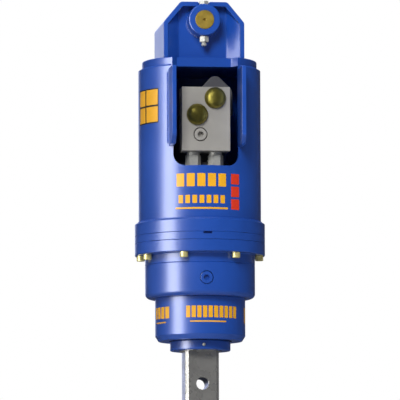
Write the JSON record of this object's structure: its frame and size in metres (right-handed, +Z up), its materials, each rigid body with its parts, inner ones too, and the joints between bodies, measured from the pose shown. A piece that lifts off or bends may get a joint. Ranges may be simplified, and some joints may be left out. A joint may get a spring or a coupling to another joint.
{
  "type": "earth auger drive",
  "caption": "Hydraulic earth auger drive: a pinned hanger and a windowed hood over a flanged planetary gearbox that turns a square output shaft with a cross hole.",
  "frame": {"origin": "middle of the square output shaft's end face", "axes": "+Z up along the output shaft towards the hanger, -Y the front with the hood's window, +X to the right of someone who looks at the front"},
  "size_m": [0.289, 0.3245, 0.9004],
  "materials": {
    "blue_paint": "gloss blue enamel over steel plate and castings",
    "yellow_zinc": "yellow passivated zinc plate",
    "pin_zinc": "dull golden zinc plate",
    "clear_zinc": "clear zinc plate",
    "shaft_steel": "milled bright steel",
    "gear_steel": "ground and oiled steel",
    "cast_grey": "dark grey painted casting",
    "block_grey": "milled pale grey steel block",
    "olive_cap": "olive passivated steel",
    "seal_rubber": "black nitrile rubber"
  },
  "bodies": {
    "casing": {"seal_cover": "blue_paint", "grease_nipple": "clear_zinc", "bearing_housing": "blue_paint", "oil_seal": "seal_rubber", "lower_bearing_cup": "gear_steel", "upper_bearing_cup": "gear_steel", "gearbox_housing": "blue_paint", "gearbox_oil_plug": "blue_paint", "flange_bolt_1": "yellow_zinc", "flange_bolt_2": "yellow_zinc", "flange_bolt_3": "yellow_zinc", "flange_bolt_4": "yellow_zinc", "flange_bolt_5": "yellow_zinc", "flange_bolt_6": "yellow_zinc", "flange_bolt_7": "yellow_zinc", "flange_bolt_8": "yellow_zinc", "input_cover": "blue_paint", "ring_gear": "gear_steel", "hood_base_flange": "blue_paint", "hood_tube": "blue_paint", "left_window_cheek": "blue_paint", "right_window_cheek": "blue_paint", "hood_top_plate": "blue_paint", "hanger_arch": "blue_paint", "front_lug_plate": "blue_paint", "rear_lug_plate": "blue_paint", "front_pin_boss": "blue_paint", "rear_pin_boss": "blue_paint", "hitch_pin": "pin_zinc", "pin_bolt": "clear_zinc", "pin_nut": "clear_zinc", "motor_housing": "cast_grey", "motor_end_cover": "cast_grey", "motor_bolt_1": "clear_zinc", "motor_bolt_2": "clear_zinc", "valve_housing": "cast_grey", "manifold_block": "block_grey", "upper_port_cap": "olive_cap", "lower_port_cap": "olive_cap", "manifold_plug": "clear_zinc", "left_port_adaptor": "clear_zinc", "right_port_adaptor": "clear_zinc"},
    "shaft": {"output_shaft": "shaft_steel", "final_carrier": "gear_steel", "lower_bearing_cone": "gear_steel", "upper_bearing_cone": "gear_steel", "shaft_lock_nut": "gear_steel", "thrust_washer": "pin_zinc"},
    "final_planet_gear_1": {"final_planet_1": "gear_steel"},
    "final_planet_gear_2": {"final_planet_2": "gear_steel"},
    "final_planet_gear_3": {"final_planet_3": "gear_steel"},
    "middle_stage": {"final_sun": "gear_steel", "first_carrier": "gear_steel"},
    "first_planet_gear_1": {"first_planet_1": "gear_steel"},
    "first_planet_gear_2": {"first_planet_2": "gear_steel"},
    "first_planet_gear_3": {"first_planet_3": "gear_steel"},
    "motor_shaft": {"first_sun": "gear_steel"},
    "lower_rollers": {"lower_bearing_rollers": "gear_steel"},
    "upper_rollers": {"upper_bearing_rollers": "gear_steel"}
  },
  "joints": [
    {"name": "shaft_spin", "type": "hinge", "parent": "casing", "child": "shaft", "pos_m": [0, 0, 0.1], "axis": [0, 0, 1], "continuous": true},
    {"name": "final_planet_spin_1", "type": "hinge", "parent": "shaft", "child": "final_planet_gear_1", "pos_m": [0, 0.06, 0.3], "axis": [0, 0, 1], "continuous": true},
    {"name": "final_planet_spin_2", "type": "hinge", "parent": "shaft", "child": "final_planet_gear_2", "pos_m": [-0.05196, -0.03, 0.3], "axis": [0, 0, 1], "continuous": true},
    {"name": "final_planet_spin_3", "type": "hinge", "parent": "shaft", "child": "final_planet_gear_3", "pos_m": [0.05196, -0.03, 0.3], "axis": [0, 0, 1], "continuous": true},
    {"name": "middle_stage_spin", "type": "hinge", "parent": "casing", "child": "middle_stage", "pos_m": [0, 0, 0.32], "axis": [0, 0, 1], "continuous": true},
    {"name": "first_planet_spin_1", "type": "hinge", "parent": "middle_stage", "child": "first_planet_gear_1", "pos_m": [0, 0.054, 0.34], "axis": [0, 0, 1], "continuous": true},
    {"name": "first_planet_spin_2", "type": "hinge", "parent": "middle_stage", "child": "first_planet_gear_2", "pos_m": [-0.04677, -0.027, 0.34], "axis": [0, 0, 1], "continuous": true},
    {"name": "first_planet_spin_3", "type": "hinge", "parent": "middle_stage", "child": "first_planet_gear_3", "pos_m": [0.04677, -0.027, 0.34], "axis": [0, 0, 1], "continuous": true},
    {"name": "motor_shaft_spin", "type": "hinge", "parent": "casing", "child": "motor_shaft", "pos_m": [0, 0, 0.38], "axis": [0, 0, 1], "continuous": true},
    {"name": "lower_rollers_spin", "type": "hinge", "parent": "casing", "child": "lower_rollers", "pos_m": [0, 0, 0.18], "axis": [0, 0, 1], "continuous": true},
    {"name": "upper_rollers_spin", "type": "hinge", "parent": "casing", "child": "upper_rollers", "pos_m": [0, 0, 0.24], "axis": [0, 0, 1], "continuous": true}
  ],
  "couplings": [
    {"joint": "final_planet_spin_1", "follows": "shaft_spin", "ratio": -3.5},
    {"joint": "final_planet_spin_2", "follows": "shaft_spin", "ratio": -3.5},
    {"joint": "final_planet_spin_3", "follows": "shaft_spin", "ratio": -3.5},
    {"joint": "middle_stage_spin", "follows": "shaft_spin", "ratio": 3.3333},
    {"joint": "first_planet_spin_1", "follows": "shaft_spin", "ratio": -9.3333},
    {"joint": "first_planet_spin_2", "follows": "shaft_spin", "ratio": -9.3333},
    {"joint": "first_planet_spin_3", "follows": "shaft_spin", "ratio": -9.3333},
    {"joint": "motor_shaft_spin", "follows": "shaft_spin", "ratio": 15},
    {"joint": "lower_rollers_spin", "follows": "shaft_spin", "ratio": 0.458},
    {"joint": "upper_rollers_spin", "follows": "shaft_spin", "ratio": 0.458}
  ]
}
